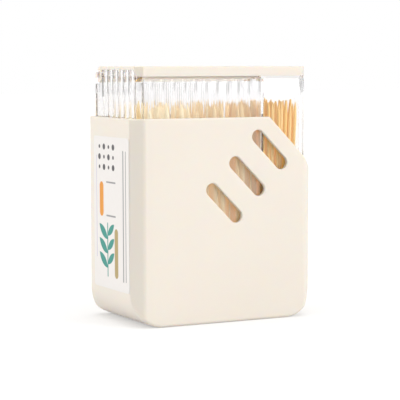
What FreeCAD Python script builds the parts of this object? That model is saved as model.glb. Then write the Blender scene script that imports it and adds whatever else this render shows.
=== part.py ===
import FreeCAD, Part
import math
import os

from FreeCAD import Vector

# Toothpick dispenser: an opaque sleeve, a clear two-compartment box that stands in it,
# and a flip lid hinged at the rear of the box. Millimetres, +Z up, front at -Y,
# origin at the middle of the base.

# Sleeve
sleeve_width = 64.0
sleeve_depth = 36.0
sleeve_height = 64.2
sleeve_wall = 1.3
sleeve_corner_wall = 1.0
sleeve_floor = 1.8
sleeve_draft = 0.25
corner_leg = 3.6
corner_blend = 2.0
base_radius = 10.0
base_round = 1.0
rim_round = 0.45

# Corner cut and viewing slots
cut_leg = 16.6
slot_count = 3
slot_width = 4.3
slot_length = 16.1
slot_spacing = 11.5
slot_margin = 7.3
slot_shift = 4.4
slot_round = 0.35

# Clear box
box_gap = 0.35
box_wall = 1.2
box_floor = 1.6
box_base_ease = 0.5
overall_height = 80.0
partition_wall = 1.2
side_compartment = 14.5
reed_count = 11
reed_side_count = 6
reed_depth = 0.55
reed_skin = 0.02
reed_start = 1.5
thumb_gap = 0.85

# Lid
lid_plate = 1.1
skirt_drop = 3.0
lip_wall = 1.2
lip_drop = 4.6
lip_slope_run = 8.4
lip_slope_rise = 1.2
side_lip_drop = 3.0
lid_gap = 0.3
hinge_radius = 2.6
hinge_wall = 1.1
hinge_wrap = 75.0
ear_wall = 1.45
pin_radius = 0.8
pin_fit = 0.06
pin_end_gap = 0.2
shoulder_run = 4.5

# Label on the left side
label_depth = 25.7
label_height = 47.6
label_low = 10.6
label_offset = -1.55
label_thick = 0.15
label_round = 1.0

# Toothpicks
pick_length = 65.0
pick_radius = 0.75
pick_taper = 5.5
pick_sides = 6
pick_pitch = 2.7
pick_jitter = 0.25
pick_length_spread = 0.8
pick_wall_gap = 0.3
foot_climb = 3.3
rear_space = 6.3
# Phases, in radians, that scatter the picks a little, each the same on every build
column_phase = 12.9
row_phase = 7.3
side_phase = 1.7
length_phase = 2.3

# Sizes that follow from the ones above
sleeve_half_x = sleeve_width / 2
sleeve_half_y = sleeve_depth / 2
box_half_x = sleeve_half_x - sleeve_draft - sleeve_wall - box_gap
box_half_y = sleeve_half_y - sleeve_wall - box_gap
box_low = sleeve_floor
box_inside_low = box_low + box_floor
inside_half_x = box_half_x - box_wall
inside_half_y = box_half_y - box_wall
cavity_radius = base_radius - sleeve_wall
box_radius = cavity_radius + box_base_ease
inside_radius = box_radius - box_wall
rim_height = overall_height - lid_plate
hinge_y = box_half_y - hinge_radius
hinge_z = overall_height - hinge_radius
rear_wall_top = hinge_z - hinge_radius - lid_gap
front_wall_top = overall_height - skirt_drop - thumb_gap
partition_right = inside_half_x - side_compartment
partition_left = partition_right - partition_wall
spill = 3.0
over = 5.0
diagonal = math.sqrt(2)


def leg_at(inset, corner_inset):
    # Leg of the 45 degree corner when the flats move in by one amount and the corner by another.
    return corner_leg - 2 * inset + diagonal * corner_inset


box_leg = leg_at(sleeve_wall + box_gap, sleeve_corner_wall + box_gap)
inside_leg = leg_at(sleeve_wall + box_gap + box_wall, sleeve_corner_wall + box_gap + box_wall)


def block(x0, x1, y0, y1, z0, z1):
    return Part.makeBox(x1 - x0, y1 - y0, z1 - z0, Vector(x0, y0, z0))


def prism(edges, direction):
    return Part.Face(Part.Wire(edges)).extrude(direction)


def polygon_prism(points, direction):
    return Part.Face(Part.makePolygon(points + points[:1])).extrude(direction)


def front_outline_prism(half_low, half_high, low, high, radius):
    # Front view outline with two round bottom corners tangent to the drafted sides, run through in Y.
    reach = sleeve_half_y + over
    slope = (half_high - half_low) / (high - low)
    stretch = math.hypot(1, slope)
    centre_x = half_low + slope * radius - radius * stretch
    centre_z = low + radius
    side_x = centre_x + radius / stretch
    side_z = centre_z - radius * slope / stretch
    middle = Vector(1 / stretch, 0, -slope / stretch - 1).normalize() * radius

    def at(x, z):
        return Vector(x, -reach, z)

    edges = [
        Part.makeLine(at(-half_high, high), at(half_high, high)),
        Part.makeLine(at(half_high, high), at(side_x, side_z)),
        Part.Arc(
            at(side_x, side_z), at(centre_x + middle.x, centre_z + middle.z), at(centre_x, low)
        ).toShape(),
        Part.makeLine(at(centre_x, low), at(-centre_x, low)),
        Part.Arc(
            at(-centre_x, low), at(-centre_x - middle.x, centre_z + middle.z), at(-side_x, side_z)
        ).toShape(),
        Part.makeLine(at(-side_x, side_z), at(-half_high, high)),
    ]
    return prism(edges, Vector(0, 2 * reach, 0))


def plan_outline_prism(half_x, half_y, leg, low, high, blend):
    # Plan view outline with 45 degree corners that run on past the sides by the spill.
    wide = half_x + spill
    corner_y = half_y - leg - spill
    points = []
    for sign_x, sign_y in ((-1, -1), (1, -1), (1, 1), (-1, 1)):
        flat_end = Vector(sign_x * (half_x - leg), sign_y * half_y, low)
        side_end = Vector(sign_x * wide, sign_y * corner_y, low)
        points += [side_end, flat_end] if sign_x == sign_y else [flat_end, side_end]
    solid = polygon_prism(points, Vector(0, 0, high - low))
    if blend > 0:
        edges = [
            edge for edge in solid.Edges
            if edge.BoundBox.ZLength > (high - low) / 2
            and abs(abs(edge.CenterOfMass.x) - (half_x - leg)) < 0.01
        ]
        solid = solid.makeFillet(blend, edges)
    return solid


def edges_in(solid, test):
    return [edge for edge in solid.Edges if test(edge)]


def slot_centres():
    # From the middle of the corner cut, inwards across the cut and along it.
    middle = Vector(sleeve_half_x - cut_leg / 2, 0, sleeve_height - cut_leg / 2)
    along = Vector(1, 0, -1).normalize()
    inwards = Vector(-1, 0, -1).normalize()
    return [
        middle - along * slot_shift + inwards * (slot_margin + index * slot_spacing)
        for index in range(slot_count)
    ]


def slot_prism(centre, y0, y1):
    # Stadium whose long axis runs down to the right at 45 degrees.
    straight = slot_length - slot_width
    radius = slot_width / 2
    along = Vector(1, 0, -1).normalize()
    across = Vector(1, 0, 1).normalize()
    start = centre - along * (straight / 2)
    end = centre + along * (straight / 2)
    start.y = y0
    end.y = y0
    edges = [
        Part.makeLine(start + across * radius, end + across * radius),
        Part.Arc(end + across * radius, end + along * radius, end - across * radius).toShape(),
        Part.makeLine(end - across * radius, start - across * radius),
        Part.Arc(start - across * radius, start - along * radius, start + across * radius).toShape(),
    ]
    return prism(edges, Vector(0, y1 - y0, 0))


def make_sleeve():
    foot_half = sleeve_half_x - sleeve_draft
    outer = front_outline_prism(foot_half, sleeve_half_x, 0, sleeve_height, base_radius).common(
        plan_outline_prism(
            sleeve_half_x, sleeve_half_y, corner_leg, -over, sleeve_height + over, corner_blend
        )
    )

    def on_base_edge(edge):
        # Where the base and its round corners meet the front, the back and the corner faces.
        box = edge.BoundBox
        return box.ZMax < base_radius + sleeve_wall and box.YLength < corner_leg + sleeve_wall

    outer = outer.makeFillet(base_round, edges_in(outer, on_base_edge))
    cavity_top = sleeve_height + over
    cavity_draft = sleeve_draft * (cavity_top - sleeve_floor) / sleeve_height
    cavity_half = foot_half - sleeve_wall
    cavity = front_outline_prism(
        cavity_half, cavity_half + cavity_draft, sleeve_floor, cavity_top, cavity_radius
    ).common(
        plan_outline_prism(
            sleeve_half_x - sleeve_wall,
            sleeve_half_y - sleeve_wall,
            leg_at(sleeve_wall, sleeve_corner_wall),
            -over,
            cavity_top + over,
            corner_blend - sleeve_wall / 2,
        )
    )
    sleeve = outer.cut(cavity)
    reach = sleeve_half_y + over
    top = sleeve_height + over
    side = sleeve_half_x + over
    cut_sum = sleeve_half_x + sleeve_height - cut_leg
    corner = polygon_prism(
        [
            Vector(cut_sum - top, -reach, top),
            Vector(side, -reach, top),
            Vector(side, -reach, cut_sum - side),
        ],
        Vector(0, 2 * reach, 0),
    )
    sleeve = sleeve.cut(corner)
    outside = sleeve_half_y - sleeve_wall / 2

    def on_outer_rim(edge):
        box = edge.BoundBox
        centre = edge.CenterOfMass
        at_top = box.ZLength < 0.01 and abs(box.ZMax - sleeve_height) < 0.01
        on_cut = abs(centre.x + centre.z - cut_sum) < 0.05 and box.ZLength > 0.01
        across_cut = at_top and abs(centre.y) < outside and centre.x > sleeve_half_x - cut_leg - 1
        beyond = abs(centre.y) > outside or abs(centre.x) > sleeve_half_x - sleeve_wall / 2
        near_corner = abs(centre.x) + abs(centre.y) > (
            sleeve_half_x + sleeve_half_y - corner_leg - sleeve_corner_wall / 2
        )
        return (at_top or on_cut) and (beyond or near_corner) and not across_cut

    sleeve = sleeve.makeFillet(rim_round, edges_in(sleeve, on_outer_rim))
    for centre in slot_centres():
        tool = slot_prism(centre, -sleeve_half_y - over, -sleeve_half_y + sleeve_wall + box_gap / 2)
        sleeve = sleeve.cut(tool)

    def on_slot_mouth(edge):
        box = edge.BoundBox
        on_front = box.YLength < 0.01 and abs(box.YMin + sleeve_half_y) < 0.01
        near = any(
            (edge.CenterOfMass - Vector(c.x, -sleeve_half_y, c.z)).Length < slot_length * 0.6
            for c in slot_centres()
        )
        return on_front and near and box.ZLength < slot_length * 0.8 and box.XLength < slot_length

    return sleeve.makeFillet(slot_round, edges_in(sleeve, on_slot_mouth))


def reeding(start, count, pitch, low, high):
    # Cutter that turns a flat wall into convex reeds. Local X runs along the wall, local Y outwards.
    edges = []
    for index in range(count):
        left = start + index * pitch
        edges.append(
            Part.Arc(
                Vector(left, -reed_depth, low),
                Vector(left + pitch / 2, -reed_skin, low),
                Vector(left + pitch, -reed_depth, low),
            ).toShape()
        )
    end = start + count * pitch
    corners = [
        Vector(end, -reed_depth, low),
        Vector(end, spill, low),
        Vector(start, spill, low),
        Vector(start, -reed_depth, low),
    ]
    edges += [Part.makeLine(a, b) for a, b in zip(corners, corners[1:])]
    return prism(edges, Vector(0, 0, high - low))


def turned(shape, angle, offset):
    shape.rotate(Vector(0, 0, 0), Vector(0, 0, 1), angle)
    shape.translate(offset)
    return shape


def make_clear_box():
    outer = front_outline_prism(box_half_x, box_half_x, box_low, rim_height, box_radius).common(
        plan_outline_prism(box_half_x, box_half_y, box_leg, -over, rim_height + over, 0)
    )
    inside = front_outline_prism(
        inside_half_x, inside_half_x, box_inside_low, rim_height + over, inside_radius
    ).common(
        plan_outline_prism(inside_half_x, inside_half_y, inside_leg, -over, rim_height + 2 * over, 0)
    )
    shell = outer.cut(inside)
    seat = box_wall / 4
    partition = block(
        partition_left, partition_right,
        -inside_half_y - seat, inside_half_y + seat,
        box_inside_low - seat, rim_height - lid_gap,
    )
    shell = shell.fuse(partition)

    reed_low = box_low + box_radius + reed_start
    reed_from = -box_half_x + box_leg
    pitch = (partition_left - reed_from) / reed_count
    side_pitch = (hinge_y - shoulder_run + box_half_y - box_leg) / reed_side_count
    high = overall_height + over
    shell = shell.cut([
        turned(reeding(-partition_left, reed_count, pitch, reed_low, high), 180,
               Vector(0, -box_half_y, 0)),
        turned(reeding(reed_from, reed_count, pitch, reed_low, high), 0,
               Vector(0, box_half_y, 0)),
        turned(reeding(-box_half_y + box_leg, reed_side_count, side_pitch, reed_low, high), 90,
               Vector(-box_half_x, 0, 0)),
    ])

    front_notch = block(
        -box_half_x - over, box_half_x + over,
        -box_half_y - over, -box_half_y + box_leg + lid_gap,
        front_wall_top, high,
    )
    hinge_notch = block(
        -inside_half_x, inside_half_x,
        hinge_y - hinge_radius - lid_gap, box_half_y + over,
        rear_wall_top, high,
    )
    bore = Part.makeCylinder(
        pin_radius + pin_fit, 2 * (box_half_x + over),
        Vector(-box_half_x - over, hinge_y, hinge_z), Vector(1, 0, 0),
    )
    return shell.cut([front_notch, hinge_notch, bore]).removeSplitter()


def hinge_curl():
    # Rolled rear edge of the lid, concentric with the pins, from the top plate round to below the axis.
    half = inside_half_x - lid_gap - ear_wall
    inner = hinge_radius - hinge_wall
    low = -math.radians(hinge_wrap)
    high = math.radians(90)
    middle = (low + high) / 2

    def at(radius, angle):
        return Vector(
            -half, hinge_y + radius * math.cos(angle), hinge_z + radius * math.sin(angle)
        )

    edges = [
        Part.Arc(at(hinge_radius, low), at(hinge_radius, middle), at(hinge_radius, high)).toShape(),
        Part.makeLine(at(hinge_radius, high), at(inner, high)),
        Part.Arc(at(inner, high), at(inner, middle), at(inner, low)).toShape(),
        Part.makeLine(at(inner, low), at(hinge_radius, low)),
    ]
    return prism(edges, Vector(2 * half, 0, 0))


def make_lid():
    skirt_low = overall_height - skirt_drop
    ear_out = inside_half_x - lid_gap
    shoulder = hinge_y - shoulder_run
    full = plan_outline_prism(box_half_x, box_half_y, box_leg, skirt_low, overall_height, 0).common(
        block(-box_half_x, box_half_x, -box_half_y - over, shoulder, skirt_low, overall_height)
    )
    hollow = plan_outline_prism(
        inside_half_x, inside_half_y, inside_leg, skirt_low - over, rim_height, 0
    )
    behind = block(
        -box_half_x - over, box_half_x + over,
        -box_half_y + box_leg, shoulder + over,
        skirt_low - over, rim_height,
    )
    lid = full.cut([hollow, behind])
    lid = lid.fuse(block(-ear_out, ear_out, shoulder - lid_gap, hinge_y, rim_height, overall_height))
    lid = lid.fuse(hinge_curl())
    for side in (-1, 1):
        ear_x = ear_out - ear_wall if side > 0 else -ear_out
        pin_start = ear_out - ear_wall / 2
        pin_length = box_half_x - pin_end_gap - pin_start
        ear = Part.makeCylinder(hinge_radius, ear_wall, Vector(ear_x, hinge_y, hinge_z), Vector(1, 0, 0))
        pin = Part.makeCylinder(
            pin_radius, pin_length,
            Vector(side * pin_start, hinge_y, hinge_z), Vector(side, 0, 0),
        )
        lid = lid.fuse(ear).fuse(pin)

    lip_front = -inside_half_y + lid_gap
    lip_left = -inside_half_x + inside_leg + lid_gap
    lip_right = partition_left - lid_gap
    lip_low = overall_height - lip_drop
    top = rim_height + lid_plate / 2
    lip = polygon_prism(
        [
            Vector(lip_left, lip_front, top),
            Vector(lip_left, lip_front, lip_low),
            Vector(lip_right - lip_slope_run, lip_front, lip_low),
            Vector(lip_right, lip_front, lip_low + lip_slope_rise),
            Vector(lip_right, lip_front, top),
        ],
        Vector(0, lip_wall, 0),
    )
    lid = lid.fuse(lip)
    side_front = lip_front + lip_wall
    side_back = shoulder - lid_gap
    for side in (-1, 1):
        edge = side * (inside_half_x - lid_gap)
        inner = edge - side * lip_wall
        lid = lid.fuse(
            block(
                min(edge, inner), max(edge, inner), side_front, side_back,
                overall_height - side_lip_drop, top,
            )
        )
    return lid.removeSplitter()


def make_label():
    # Thin sticker lying on the drafted left side of the sleeve.
    tilt = math.degrees(math.atan(sleeve_draft / sleeve_height))
    foot_x = -(sleeve_half_x - sleeve_draft)
    sticker = Part.makeBox(
        label_thick, label_depth, label_height,
        Vector(-label_thick, label_offset - label_depth / 2, label_low),
    )
    corners = edges_in(sticker, lambda edge: edge.BoundBox.XLength > label_thick / 2)
    sticker = sticker.makeFillet(label_round, corners)
    sticker.rotate(Vector(0, 0, 0), Vector(0, 1, 0), -tilt)
    sticker.translate(Vector(foot_x, 0, 0))
    return sticker


def floor_under(x):
    # Height of the inside of the clear box under a pick, with its round bottom corners.
    edge = inside_half_x - abs(x)
    if edge >= inside_radius:
        return box_inside_low
    rise = math.sqrt(inside_radius ** 2 - (inside_radius - edge) ** 2)
    return box_inside_low + inside_radius - rise


def pick_ring(x, y, z):
    points = []
    for index in range(pick_sides + 1):
        angle = 2 * math.pi * index / pick_sides
        points.append(Vector(x + pick_radius * math.cos(angle), y + pick_radius * math.sin(angle), z))
    return Part.makePolygon(points)


def toothpick(x_foot, x_tip, y, length):
    low = floor_under(x_foot)

    def x_at(rise):
        return x_foot + (x_tip - x_foot) * rise / length

    return Part.makeLoft(
        [
            Part.Vertex(x_foot, y, low),
            pick_ring(x_at(pick_taper), y, low + pick_taper),
            pick_ring(x_at(length - pick_taper), y, low + length - pick_taper),
            Part.Vertex(x_tip, y, low + length),
        ],
        True, True,
    )


def foot_under(x, x0, x1, margin):
    # Feet keep mostly to the flat floor, so that picks fan out towards the outer wall.
    limit = inside_half_x - inside_radius + foot_climb
    if abs(x0) > abs(x1):
        anchor = x1 - margin
        return anchor + (x - anchor) * (limit + anchor) / (anchor - x0 - margin)
    anchor = x0 + margin
    return anchor + (x - anchor) * (limit - anchor) / (x1 - margin - anchor)


def make_picks(x0, x1):
    # Picks on a loose grid between two walls, clear of the open strip at the rear.
    margin = pick_radius + pick_wall_gap + pick_jitter
    y0 = -inside_half_y + margin
    y1 = inside_half_y - rear_space - margin
    columns = int((x1 - x0 - 2 * margin) / pick_pitch) + 1
    rows = int((y1 - y0) / pick_pitch) + 1
    step_x = (x1 - x0 - 2 * margin) / (columns - 1)
    step_y = (y1 - y0) / (rows - 1)
    corner_limit = inside_half_x + inside_half_y - inside_leg - diagonal * (pick_radius + pick_wall_gap)
    picks = []
    for column in range(columns):
        for row in range(rows):
            swing = column_phase * column + row_phase * row
            x = x0 + margin + column * step_x + pick_jitter * math.sin(swing)
            y = y0 + row * step_y + pick_jitter * math.cos(side_phase * swing)
            length = pick_length + pick_length_spread * math.sin(length_phase * swing + column)
            if abs(x) + abs(y) < corner_limit:
                picks.append(toothpick(foot_under(x, x0, x1, margin), x, y, length))
    return Part.makeCompound(picks)


def main():
    os.makedirs("parts", exist_ok=True)
    parts = {
        "outer_sleeve": make_sleeve(),
        "side_label": make_label(),
        "clear_box": make_clear_box(),
        "lid": make_lid(),
        "toothpicks_main": make_picks(-inside_half_x, partition_left),
        "toothpicks_side": make_picks(partition_right, inside_half_x),
    }
    for name, shape in parts.items():
        print(name, len(shape.Solids), shape.isValid(), round(shape.Volume, 1))
        shape.exportStep("parts/" + name + ".step")


main()
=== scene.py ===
import math
import random

import bmesh
import bpy
from mathutils import Matrix, Vector


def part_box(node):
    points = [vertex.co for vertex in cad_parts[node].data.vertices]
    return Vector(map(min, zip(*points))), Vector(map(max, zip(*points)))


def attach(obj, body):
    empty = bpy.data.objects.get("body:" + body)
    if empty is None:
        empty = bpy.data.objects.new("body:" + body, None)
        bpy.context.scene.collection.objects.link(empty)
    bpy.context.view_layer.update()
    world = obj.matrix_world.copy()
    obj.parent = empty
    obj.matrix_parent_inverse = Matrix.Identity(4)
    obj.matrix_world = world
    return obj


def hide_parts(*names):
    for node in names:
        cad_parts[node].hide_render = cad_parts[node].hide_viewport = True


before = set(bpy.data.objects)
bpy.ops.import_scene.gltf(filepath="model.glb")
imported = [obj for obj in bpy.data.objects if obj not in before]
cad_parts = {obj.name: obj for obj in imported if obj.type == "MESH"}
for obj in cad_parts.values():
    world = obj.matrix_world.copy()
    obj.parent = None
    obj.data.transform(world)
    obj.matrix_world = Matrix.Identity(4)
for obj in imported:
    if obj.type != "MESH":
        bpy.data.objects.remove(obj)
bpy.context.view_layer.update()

mm = 0.001
white = (1.0, 1.0, 1.0, 1.0)
viewLayer = bpy.context.view_layer

boxLow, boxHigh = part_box("clear_box")


# Small helpers for picking by hand

def deselectAll():
    if bpy.context.object and bpy.context.object.mode != "OBJECT":
        bpy.ops.object.mode_set(mode="OBJECT")
    bpy.ops.object.select_all(action="DESELECT")


def pick(piece):
    deselectAll()
    piece.select_set(True)
    viewLayer.objects.active = piece


def selectFaces(piece, test):
    # piece is in edit mode; test gets each face's centre and normal
    mesh = bmesh.from_edit_mesh(piece.data)
    for vert in mesh.verts:
        vert.select = False
    for face in mesh.faces:
        face.select = test(face.calc_center_median(), face.normal)
    mesh.select_flush(True)
    bmesh.update_edit_mesh(piece.data)


def setMaterial(piece, material):
    piece.data.materials.clear()
    piece.data.materials.append(material)


# Node helpers

def newMaterial(name):
    material = bpy.data.materials.new(name)
    material.use_nodes = True
    tree = material.node_tree
    shader = tree.nodes["Principled BSDF"]
    return material, tree, shader


def addNode(tree, kind, inputs=None, **settings):
    node = tree.nodes.new(kind)
    for key, value in settings.items():
        setattr(node, key, value)
    for key, value in (inputs or {}).items():
        if isinstance(value, bpy.types.NodeSocket):
            tree.links.new(value, node.inputs[key])
        else:
            node.inputs[key].default_value = value
    return node


def mathNode(tree, operation, first, second=0.0):
    return addNode(tree, "ShaderNodeMath", {0: first, 1: second}, operation=operation).outputs[0]


def vectorNode(tree, operation, inputs, output=0):
    return addNode(tree, "ShaderNodeVectorMath", inputs, operation=operation).outputs[output]


def mapRange(tree, value, toMin=0.0, toMax=1.0, fromMin=0.0, fromMax=1.0, **settings):
    inputs = {
        "Value": value, "From Min": fromMin, "From Max": fromMax, "To Min": toMin, "To Max": toMax,
    }
    return addNode(tree, "ShaderNodeMapRange", inputs, **settings).outputs["Result"]


def mixColour(tree, factor, first, second):
    # inputs 6 and 7 are the node's two colours, output 2 is the mixed one
    inputs = {"Factor": factor, 6: first, 7: second}
    return addNode(tree, "ShaderNodeMix", inputs, data_type="RGBA").outputs[2]


def objectPlace(tree):
    return addNode(tree, "ShaderNodeTexCoord").outputs["Object"]


def noiseAt(tree, place, scale, detail=3.0, roughness=0.5):
    inputs = {"Vector": place, "Scale": scale, "Detail": detail, "Roughness": roughness}
    return addNode(tree, "ShaderNodeTexNoise", inputs).outputs["Fac"]


def addBump(tree, shader, height, distance, strength):
    inputs = {"Height": height, "Distance": distance, "Strength": strength}
    bump = addNode(tree, "ShaderNodeBump", inputs)
    tree.links.new(bump.outputs["Normal"], shader.inputs["Normal"])


# Cream moulded plastic of the sleeve and the lid

creamPlastic = {
    "light": (0.915, 0.848, 0.765, 1.0),
    "shade": (0.89, 0.818, 0.73, 1.0),
    "cloudScale": 28.0,
    "grainScale": 2600.0,
    "grainDetail": 2.0,
    "grainHeight": 0.006 * mm,
    "grainBump": 0.5,
    "roughLow": 0.36,
    "roughHigh": 0.5,
    "glowDepth": 1.2 * mm,
    "glowColour": (1.0, 0.72, 0.42),
    "glowWeight": 0.45,
}


def makeCreamPlastic():
    material, tree, shader = newMaterial("creamPlastic")
    place = objectPlace(tree)
    cloud = noiseAt(tree, place, creamPlastic["cloudScale"])
    grain = noiseAt(tree, place, creamPlastic["grainScale"], creamPlastic["grainDetail"])
    colour = mixColour(tree, cloud, creamPlastic["light"], creamPlastic["shade"])
    tree.links.new(colour, shader.inputs["Base Color"])
    rough = mapRange(tree, cloud, creamPlastic["roughLow"], creamPlastic["roughHigh"])
    tree.links.new(rough, shader.inputs["Roughness"])
    # thin walls let a little warm light through
    shader.inputs["Subsurface Weight"].default_value = creamPlastic["glowWeight"]
    shader.inputs["Subsurface Radius"].default_value = creamPlastic["glowColour"]
    shader.inputs["Subsurface Scale"].default_value = creamPlastic["glowDepth"]
    addBump(tree, shader, grain, creamPlastic["grainHeight"], creamPlastic["grainBump"])
    return material


# Clear plastic of the box. Lamps pass straight through it, sight is bent by its walls.

clearPlastic = {
    "tint": (0.985, 0.982, 0.988, 1.0),
    "ior": 1.5,
    "roughness": 0.02,
    "edgeTint": (0.88, 0.87, 0.88, 1.0),
    "edgeRoughness": 0.25,
    "edgeHaze": 0.4,
    "reedHaze": 0.15,
    "waveScale": 70.0,
    "waveDetail": 1.0,
    "waveHeight": 0.01 * mm,
    "waveBump": 0.4,
    "shadowTint": (0.96, 0.96, 0.96, 1.0),
}


def makeClearPlastic(name, tint, roughness, haze=0.0):
    # haze is the share of the light that the surface scatters instead of letting it through
    material, tree, shader = newMaterial(name)
    shader.inputs["Base Color"].default_value = tint
    shader.inputs["Transmission Weight"].default_value = 1.0 - haze
    shader.inputs["IOR"].default_value = clearPlastic["ior"]
    shader.inputs["Roughness"].default_value = roughness
    wave = noiseAt(tree, objectPlace(tree), clearPlastic["waveScale"], clearPlastic["waveDetail"])
    addBump(tree, shader, wave, clearPlastic["waveHeight"], clearPlastic["waveBump"])
    path = addNode(tree, "ShaderNodeLightPath")
    through = addNode(tree, "ShaderNodeBsdfTransparent", {"Color": clearPlastic["shadowTint"]})
    mix = addNode(tree, "ShaderNodeMixShader", {
        0: path.outputs["Is Shadow Ray"], 1: shader.outputs[0], 2: through.outputs[0],
    })
    tree.links.new(mix.outputs[0], tree.nodes["Material Output"].inputs["Surface"])
    return material


# Bamboo of the toothpicks, each with its own tone

bamboo = {
    "pale": (0.95, 0.85, 0.58, 1.0),
    "warm": (0.86, 0.53, 0.13, 1.0),
    "fibre": (0.68, 0.37, 0.08, 1.0),
    "fibreScale": 900.0,
    "fibreDetail": 4.0,
    "fibreFineness": 0.6,
    "fibreStretch": 0.035,
    "fibreHeight": 0.02 * mm,
    "fibreBump": 0.4,
    "streakStart": 0.5,
    "streakFull": 0.75,
    "streakShare": 0.55,
    "roughness": 0.62,
    "glow": 0.17,
}


def makeBamboo():
    material, tree, shader = newMaterial("bamboo")
    stretched = addNode(tree, "ShaderNodeMapping", {
        "Vector": objectPlace(tree), "Scale": (1.0, 1.0, bamboo["fibreStretch"]),
    }).outputs["Vector"]
    fibre = noiseAt(
        tree, stretched, bamboo["fibreScale"], bamboo["fibreDetail"], bamboo["fibreFineness"]
    )
    tone = addNode(tree, "ShaderNodeAttribute", attribute_name="pickTone").outputs["Fac"]
    body = mixColour(tree, tone, bamboo["pale"], bamboo["warm"])
    streak = mapRange(
        tree, fibre, 0.0, bamboo["streakShare"], bamboo["streakStart"], bamboo["streakFull"]
    )
    colour = mixColour(tree, streak, body, bamboo["fibre"])
    tree.links.new(colour, shader.inputs["Base Color"])
    # stands in for the light that comes through the thin cream walls
    tree.links.new(colour, shader.inputs["Emission Color"])
    shader.inputs["Emission Strength"].default_value = bamboo["glow"]
    shader.inputs["Roughness"].default_value = bamboo["roughness"]
    addBump(tree, shader, fibre, bamboo["fibreHeight"], bamboo["fibreBump"])
    return material


# Paper label with a plain decoration: dots, rules, two bars and a sprig. Places are
# millimetres along Y and Z. A bar is its ink, its two ends and its radius. A leaf is
# how far its base is above the height, its tip, with Z from the height, and its width.

labelPrint = {
    "paper": (0.90, 0.86, 0.83, 1.0),
    "paperFibre": (0.93, 0.90, 0.875, 1.0),
    "fibreScale": 500.0,
    "fibreDetail": 4.0,
    "roughLow": 0.45,
    "roughHigh": 0.6,
    "softEdge": 0.12,
    "inks": {
        "black": (0.075, 0.07, 0.075, 1.0),
        "grey": (0.33, 0.32, 0.33, 1.0),
        "lilac": (0.60, 0.55, 0.70, 1.0),
        "orange": (0.85, 0.33, 0.03, 1.0),
        "teal": (0.03, 0.30, 0.25, 1.0),
        "tan": (0.48, 0.36, 0.15, 1.0),
    },
    "dots": {
        "ink": "black", "rows": 3, "columns": 4, "corner": (7.0, 55.0), "across": 3.4, "down": 3.2,
        "small": 0.6, "large": 0.95,
    },
    "bars": (
        ("lilac", (9.3, 20.0), (9.3, 52.0), 0.16),
        ("grey", (-10.4, 14.0), (-10.4, 54.0), 0.34),
        ("grey", (-12.2, 14.0), (-12.2, 54.0), 0.22),
        ("orange", (5.6, 34.5), (5.6, 42.5), 1.45),
        ("grey", (1.8, 33.5), (-4.6, 33.5), 0.25),
        ("grey", (1.8, 44.0), (-4.6, 44.0), 0.25),
        ("tan", (-5.2, 15.5), (-5.2, 28.5), 1.25),
        ("teal", (1.2, 14.5), (1.2, 31.0), 0.3),
    ),
    "sprig": {
        "ink": "teal", "stem": 1.2, "heights": (17.0, 21.5, 26.0),
        "leaves": ((0.0, (7.4, 4.6), 2.7), (1.2, (-3.6, 5.0), 2.3)),
    },
}


def capsuleMask(tree, place, start, end, radius):
    # 1 inside a round-ended bar from start to end on the label, 0 outside. A dot has no
    # length, so any number but 0 may divide by it.
    along = Vector((0.0, end[0] - start[0], end[1] - start[1])) * mm
    origin = Vector((0.0, start[0], start[1])) * mm
    lengthSquared = along.length_squared or 1.0
    offset = vectorNode(tree, "SUBTRACT", {0: place, 1: origin})
    reach = vectorNode(tree, "DOT_PRODUCT", {0: offset, 1: along}, "Value")
    share = addNode(
        tree, "ShaderNodeMath", {0: reach, 1: lengthSquared}, operation="DIVIDE", use_clamp=True
    ).outputs[0]
    back = vectorNode(tree, "SCALE", {0: along, "Scale": share})
    gap = vectorNode(tree, "SUBTRACT", {0: offset, 1: back})
    far = vectorNode(tree, "LENGTH", {0: gap}, "Value")
    soft = labelPrint["softEdge"] * mm
    return mapRange(
        tree, far, 1.0, 0.0, radius * mm - soft, radius * mm + soft, interpolation_type="SMOOTHSTEP"
    )


def leafMask(tree, place, base, tip, width):
    # A leaf is where two circles through its base and tip overlap
    middle = ((base[0] + tip[0]) / 2, (base[1] + tip[1]) / 2)
    spine = (tip[0] - base[0], tip[1] - base[1])
    length = math.hypot(*spine)
    side = (-spine[1] / length, spine[0] / length)
    radius = (length * length + width * width) / (4 * width)
    away = radius - width / 2
    first = (middle[0] + side[0] * away, middle[1] + side[1] * away)
    second = (middle[0] - side[0] * away, middle[1] - side[1] * away)
    return mathNode(
        tree, "MULTIPLY",
        capsuleMask(tree, place, first, first, radius), capsuleMask(tree, place, second, second, radius),
    )


def labelShapes(tree, flat):
    # every shape as its ink and its mask, in the order of printing
    dots, sprig = labelPrint["dots"], labelPrint["sprig"]
    shapes = []
    for row in range(dots["rows"]):
        for column in range(dots["columns"]):
            spot = (dots["corner"][0] - column * dots["across"], dots["corner"][1] - row * dots["down"])
            radius = dots["large"] if (row + column) % 2 else dots["small"]
            shapes.append((dots["ink"], capsuleMask(tree, flat, spot, spot, radius)))
    for ink, start, end, radius in labelPrint["bars"]:
        shapes.append((ink, capsuleMask(tree, flat, start, end, radius)))
    for height in sprig["heights"]:
        for rise, tip, width in sprig["leaves"]:
            base = (sprig["stem"], height + rise)
            leaf = leafMask(tree, flat, base, (tip[0], height + tip[1]), width)
            shapes.append((sprig["ink"], leaf))
    return shapes


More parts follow.
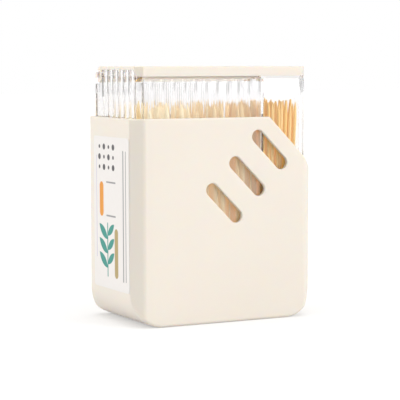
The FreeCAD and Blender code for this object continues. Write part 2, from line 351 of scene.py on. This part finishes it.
def makeLabelPaper():
    material, tree, shader = newMaterial("labelPaper")
    place = objectPlace(tree)
    # only Y and Z count for the print
    flat = vectorNode(tree, "MULTIPLY", {0: place, 1: (0.0, 1.0, 1.0)})
    fibre = noiseAt(tree, place, labelPrint["fibreScale"], labelPrint["fibreDetail"])
    colour = mixColour(tree, fibre, labelPrint["paper"], labelPrint["paperFibre"])
    for ink, mask in labelShapes(tree, flat):
        colour = mixColour(tree, mask, colour, labelPrint["inks"][ink])
    tree.links.new(colour, shader.inputs["Base Color"])
    rough = mapRange(tree, fibre, labelPrint["roughLow"], labelPrint["roughHigh"])
    tree.links.new(rough, shader.inputs["Roughness"])
    return material


cream = makeCreamPlastic()
clear = makeClearPlastic("clearPlastic", clearPlastic["tint"], clearPlastic["roughness"])
clearEdge = makeClearPlastic(
    "clearPlasticEdge", clearPlastic["edgeTint"], clearPlastic["edgeRoughness"], clearPlastic["edgeHaze"]
)
clearReed = makeClearPlastic(
    "clearPlasticReed", clearPlastic["tint"], clearPlastic["roughness"], clearPlastic["reedHaze"]
)
wood = makeBamboo()
paper = makeLabelPaper()
print("materials ready")


# Moulded shells, finished from the frame's own shapes with softened edges. Angles are
# degrees.

finishing = {
    "merge": 0.002 * mm,
    "flatAngle": 0.6,
    "bevelAngle": 28.0,
    "smoothAngle": 30.0,
    "flatWeight": 100,
}
sleeveShell = {
    "node": "outer_sleeve", "body": "sleeve", "slot": "cream_plastic", "edge": 0.14 * mm, "steps": 2,
}
clearShell = {
    "node": "clear_box", "body": "box", "slot": "clear_plastic", "edge": 0.2 * mm, "steps": 2,
    "reedSkin": 0.01 * mm, "reedDepth": 0.65 * mm, "reedEnd": 13.4 * mm, "reedFacing": 0.3,
}
flipLid = {
    "node": "lid", "body": "lid", "slot": "cream_plastic", "edge": 0.22 * mm, "steps": 3,
}


def onReeds(centre, normal):
    # The reeds are on the front, back and left walls, as far as the partition. Flat faces
    # of the walls stand a little further out than the crests.
    skin, depth, facing = clearShell["reedSkin"], clearShell["reedDepth"], clearShell["reedFacing"]
    onLong = skin < boxHigh.y - abs(centre.y) < depth and abs(normal.y) > facing
    onLeft = skin < centre.x - boxLow.x < depth and normal.x < -facing
    return centre.x < clearShell["reedEnd"] and (onLong or onLeft)


def softenedShell(name, settings, material, edgeMaterial=None, reedMaterial=None):
    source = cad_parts[settings["node"]]
    shell = source.copy()
    shell.data = source.data.copy()
    shell.name = name
    shell.parent = None
    for key in list(shell.keys()):
        if key.startswith("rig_"):
            del shell[key]
    bpy.context.scene.collection.objects.link(shell)
    shell.matrix_world = Matrix.Identity(4)
    pick(shell)
    bpy.ops.object.mode_set(mode="EDIT")
    bpy.ops.mesh.customdata_custom_splitnormals_clear()
    bpy.ops.mesh.select_all(action="SELECT")
    bpy.ops.mesh.remove_doubles(threshold=finishing["merge"])
    bpy.ops.mesh.dissolve_limited(angle_limit=math.radians(finishing["flatAngle"]))
    bpy.ops.object.mode_set(mode="OBJECT")
    setMaterial(shell, material)
    if edgeMaterial:
        shell.data.materials.append(edgeMaterial)
    if reedMaterial:
        shell.data.materials.append(reedMaterial)
        shell.active_material_index = len(shell.data.materials) - 1
        bpy.ops.object.mode_set(mode="EDIT")
        selectFaces(shell, onReeds)
        bpy.ops.object.material_slot_assign()
        bpy.ops.object.mode_set(mode="OBJECT")
    bevel = shell.modifiers.new("softEdges", "BEVEL")
    bevel.material = 1 if edgeMaterial else -1
    bevel.limit_method = "ANGLE"
    bevel.angle_limit = math.radians(finishing["bevelAngle"])
    bevel.width = settings["edge"]
    bevel.segments = settings["steps"]
    bevel.use_clamp_overlap = True
    bevel.harden_normals = False
    bpy.ops.object.modifier_apply(modifier=bevel.name)
    bpy.ops.object.shade_smooth_by_angle(angle=math.radians(finishing["smoothAngle"]))
    # flat faces keep flat normals, so that clear walls don't bend the view
    weighted = shell.modifiers.new("flatFaces", "WEIGHTED_NORMAL")
    weighted.mode = "FACE_AREA"
    weighted.weight = finishing["flatWeight"]
    weighted.keep_sharp = True
    bpy.ops.object.modifier_apply(modifier=weighted.name)
    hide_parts(settings["node"])
    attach(shell, settings["body"])
    print(name, "softened,", len(shell.data.polygons), "faces")


softenedShell("sleeveShell", sleeveShell, cream)
softenedShell("clearShell", clearShell, clear, clearEdge, clearReed)
softenedShell("flipLid", flipLid, cream)


# Label stays as the frame has it, with its print

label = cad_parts["side_label"]
label.data.materials[0] = paper


# Toothpicks: one is turned by hand, then copied into each compartment. They fan out
# towards the outer wall, because the round bottom corner keeps their feet in.
# A point is drawn in steps, each a share of the taper's length and how much it narrows.

toothpicks = {
    "radius": 0.6 * mm,
    "length": 65.0 * mm,
    "taper": 5.0 * mm,
    "pointSteps": ((0.55, 0.72), (0.35, 0.55), (0.1, 0.5)),
    "endFacing": 0.9,
    "smoothAngle": 50.0,
    "sides": 8,
    "jitter": 0.2 * mm,
    "lean": 0.35 * mm,
    "lengthSpread": 1.6 * mm,
    "shorter": 1.0,
    "longer": 0.5,
    "footReach": 24.2 * mm,
    "innerBend": 8.0 * mm,
    "innerWall": 1.2 * mm,
    "cornerCut": 5.6 * mm,
    "toneSpread": 0.3,
    "tonePower": 2,
    "seed": 7,
}
compartments = (
    {
        "name": "mainToothpicks", "node": "toothpicks_main", "spacing": 2.75 * mm,
        "toneLow": 0.0, "toneHigh": 0.55,
    },
    {
        "name": "sideToothpicks", "node": "toothpicks_side", "spacing": 1.7 * mm,
        "toneLow": 0.6, "toneHigh": 0.8,
    },
)


def makeToothpick():
    straight = toothpicks["length"] - 2 * toothpicks["taper"]
    deselectAll()
    bpy.ops.mesh.primitive_cylinder_add(
        vertices=toothpicks["sides"], radius=toothpicks["radius"], depth=straight,
        location=(0.0, 0.0, toothpicks["length"] / 2),
    )
    stick = bpy.context.object
    stick.name = "toothpick"
    bpy.ops.object.transform_apply(location=True, rotation=True, scale=True)
    bpy.ops.object.mode_set(mode="EDIT")
    for end in (-1, 1):
        selectFaces(stick, lambda centre, normal: normal.z * end > toothpicks["endFacing"])
        for share, shrink in toothpicks["pointSteps"]:
            bpy.ops.mesh.extrude_region_move(
                TRANSFORM_OT_translate={"value": (0.0, 0.0, end * share * toothpicks["taper"])}
            )
            bpy.ops.transform.resize(value=(shrink, shrink, 1.0))
    bpy.ops.object.mode_set(mode="OBJECT")
    return stick


def floorUnder(x, lowest):
    # Height of the box floor under a foot, where the bottom corners are round
    bend = toothpicks["innerBend"]
    over = max(0.0, abs(x) - (boxHigh.x - toothpicks["innerWall"] - bend))
    return lowest + bend - math.sqrt(bend * bend - over * over)


def footUnder(x, x0, x1):
    outer, anchor = (x0, x1) if abs(x0) > abs(x1) else (x1, x0)
    limit = math.copysign(toothpicks["footReach"], outer)
    return anchor + (x - anchor) * (limit - anchor) / (outer - anchor)


def fillCompartment(settings, stick, seed):
    luck = random.Random(seed)
    low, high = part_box(settings["node"])
    spacing, jitter = settings["spacing"], toothpicks["jitter"]
    length, lean = toothpicks["length"], toothpicks["lean"]
    reach = toothpicks["radius"] + jitter
    x0, x1 = low.x + reach, high.x - reach
    y0, y1 = low.y + reach, high.y - reach
    columns = int((x1 - x0) / spacing)
    # every other row is shifted by half a space, so rows stand closer than columns
    rows = int((y1 - y0) / (spacing * math.sqrt(3) / 2))
    copies = []
    for row in range(rows + 1):
        shift = spacing / 2 if row % 2 else 0.0
        for column in range(columns + 1):
            x = x0 + shift + column * (x1 - x0 - spacing / 2) / columns + luck.uniform(-jitter, jitter)
            y = y0 + row * (y1 - y0) / rows + luck.uniform(-jitter, jitter)
            tipX, tipY = luck.uniform(-lean, lean), luck.uniform(-lean, lean)
            if abs(x) + abs(y) > boxHigh.x + boxHigh.y - toothpicks["cornerCut"]:
                continue
            change = luck.uniform(-toothpicks["shorter"], toothpicks["longer"])
            stretch = 1 + change * toothpicks["lengthSpread"] / length
            foot = footUnder(x, x0, x1)
            fan = Matrix.Identity(4)
            fan[0][2] = (x + tipX - foot) / length
            fan[1][2] = tipY / length
            place = (
                Matrix.Translation((foot, y, floorUnder(foot, low.z)))
                @ fan @ Matrix.Rotation(luck.uniform(0, math.tau), 4, "Z")
                @ Matrix.Diagonal((1.0, 1.0, stretch, 1.0))
            )
            mesh = stick.data.copy()
            mesh.transform(place)
            # the batch gets warmer towards the cut corner, and each pick differs a little
            share = ((x - x0) / (x1 - x0)) ** toothpicks["tonePower"]
            warmth = settings["toneLow"] + share * (settings["toneHigh"] - settings["toneLow"])
            warmth += luck.uniform(0.0, toothpicks["toneSpread"])
            tone = mesh.attributes.new("pickTone", "FLOAT", "POINT")
            tone.data.foreach_set("value", [warmth] * len(mesh.vertices))
            copy = bpy.data.objects.new(settings["name"] + "Copy", mesh)
            bpy.context.scene.collection.objects.link(copy)
            copies.append(copy)
    deselectAll()
    for copy in copies:
        copy.select_set(True)
    viewLayer.objects.active = copies[0]
    bpy.ops.object.join()
    bundle = bpy.context.object
    bundle.name = settings["name"]
    bpy.ops.object.shade_smooth_by_angle(angle=math.radians(toothpicks["smoothAngle"]))
    setMaterial(bundle, wood)
    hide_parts(settings["node"])
    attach(bundle, "box")
    print(settings["name"], len(copies), "toothpicks,", len(bundle.data.polygons), "faces")


stick = makeToothpick()
for order, settings in enumerate(compartments):
    fillCompartment(settings, stick, toothpicks["seed"] + order)
bpy.data.objects.remove(stick)


# Floor, light and camera

studio = {
    "floorSize": 6.0,
    "floorColour": (0.66, 0.66, 0.66, 1.0),
    "floorRoughness": 0.9,
    "floorGlow": 0.36,
    "skyLight": 0.66,
    "cardStart": 0.12,
    "cardFull": 0.45,
    "cardFade": 0.62,
    "cardEnd": 0.8,
    "cardShade": 0.42,
    "lamps": {
        "frontLamp": {"from": (0.60, -0.80, 0.22), "light": 0.35, "spread": 34.0},
        "leftLamp": {"from": (-0.80, 0.55, 0.25), "light": 0.33, "spread": 34.0},
        "topLamp": {"from": (0.05, -0.10, 1.0), "light": 0.30, "spread": 60.0},
    },
    "lampColour": (1.0, 0.985, 0.96),
    "throughBounces": 48,
    "clearBounces": 32,
    "glossBounces": 24,
    "allBounces": 48,
}

cameraPlace = {
    "yaw": 27.68,
    "pitch": 4.957,
    "distance": 525.05 * mm,
    "height": 82.71 * mm,
    "lens": 147.68,
    "sensor": 36.0,
    "nearest": 10.0 * mm,
}


def seenRays(tree):
    # 1 for what the camera sees itself, in a gloss or through clear plastic
    path = addNode(tree, "ShaderNodeLightPath")
    first = mathNode(tree, "MAXIMUM", path.outputs["Is Camera Ray"], path.outputs["Is Glossy Ray"])
    return mathNode(tree, "MAXIMUM", first, path.outputs["Is Transmission Ray"])


def makeFloor():
    deselectAll()
    bpy.ops.mesh.primitive_plane_add(size=studio["floorSize"], location=(0.0, 0.0, 0.0))
    floor = bpy.context.object
    floor.name = "studioFloor"
    material, tree, shader = newMaterial("floorPaper")
    shader.inputs["Base Color"].default_value = studio["floorColour"]
    shader.inputs["Roughness"].default_value = studio["floorRoughness"]
    shader.inputs["Specular IOR Level"].default_value = 0.0
    shader.inputs["Emission Color"].default_value = white
    glow = mathNode(tree, "MULTIPLY", seenRays(tree), studio["floorGlow"])
    tree.links.new(glow, shader.inputs["Emission Strength"])
    setMaterial(floor, material)


def makeWorld():
    world = bpy.data.worlds.new("studioSky")
    bpy.context.scene.world = world
    world.use_nodes = True
    tree = world.node_tree
    sky = tree.nodes["Background"]
    sky.inputs["Color"].default_value = white
    # grey cards left and right of the set, which only show in a gloss or through clear plastic
    yaw = math.radians(cameraPlace["yaw"])
    direction = addNode(tree, "ShaderNodeTexCoord").outputs["Generated"]
    right = (math.cos(yaw), -math.sin(yaw), 0.0)
    sideways = vectorNode(tree, "DOT_PRODUCT", {0: direction, 1: right}, "Value")
    away = mathNode(tree, "ABSOLUTE", sideways)
    nearEdge = mapRange(
        tree, away, 1.0, studio["cardShade"], studio["cardStart"], studio["cardFull"],
        interpolation_type="SMOOTHSTEP",
    )
    farEdge = mapRange(
        tree, away, 0.0, 1.0, studio["cardFade"], studio["cardEnd"], interpolation_type="SMOOTHSTEP"
    )
    bare = addNode(tree, "ShaderNodeLightPath").outputs["Is Camera Ray"]
    seen = mathNode(tree, "MAXIMUM", mathNode(tree, "MAXIMUM", nearEdge, farEdge), bare)
    strength = mapRange(tree, seenRays(tree), studio["skyLight"], seen)
    tree.links.new(strength, sky.inputs["Strength"])


def addLamp(name, settings):
    # light is how bright the lamp alone makes a white face that is turned to it
    lamp = bpy.data.lights.new(name, "SUN")
    lamp.energy = settings["light"] * math.pi
    lamp.angle = math.radians(settings["spread"])
    lamp.color = studio["lampColour"]
    holder = bpy.data.objects.new(name, lamp)
    bpy.context.scene.collection.objects.link(holder)
    holder.rotation_euler = (-Vector(settings["from"])).to_track_quat("-Z", "Y").to_euler()


def makeCamera():
    camera = bpy.data.cameras.new("camera")
    holder = bpy.data.objects.new("camera", camera)
    bpy.context.scene.collection.objects.link(holder)
    camera.lens = cameraPlace["lens"]
    camera.sensor_width = cameraPlace["sensor"]
    camera.clip_start = cameraPlace["nearest"]
    yaw, pitch = math.radians(cameraPlace["yaw"]), math.radians(cameraPlace["pitch"])
    distance = cameraPlace["distance"]
    holder.location = (-distance * math.sin(yaw), -distance * math.cos(yaw), cameraPlace["height"])
    holder.rotation_euler = (math.radians(90) - pitch, 0.0, -yaw)
    bpy.context.scene.camera = holder


makeFloor()
makeWorld()
for name, settings in studio["lamps"].items():
    addLamp(name, settings)
makeCamera()
bpy.context.scene.view_settings.view_transform = "Standard"
bpy.context.scene.cycles.transparent_max_bounces = studio["throughBounces"]
bpy.context.scene.cycles.transmission_bounces = studio["clearBounces"]
bpy.context.scene.cycles.glossy_bounces = studio["glossBounces"]
bpy.context.scene.cycles.max_bounces = studio["allBounces"]
print("studio ready")
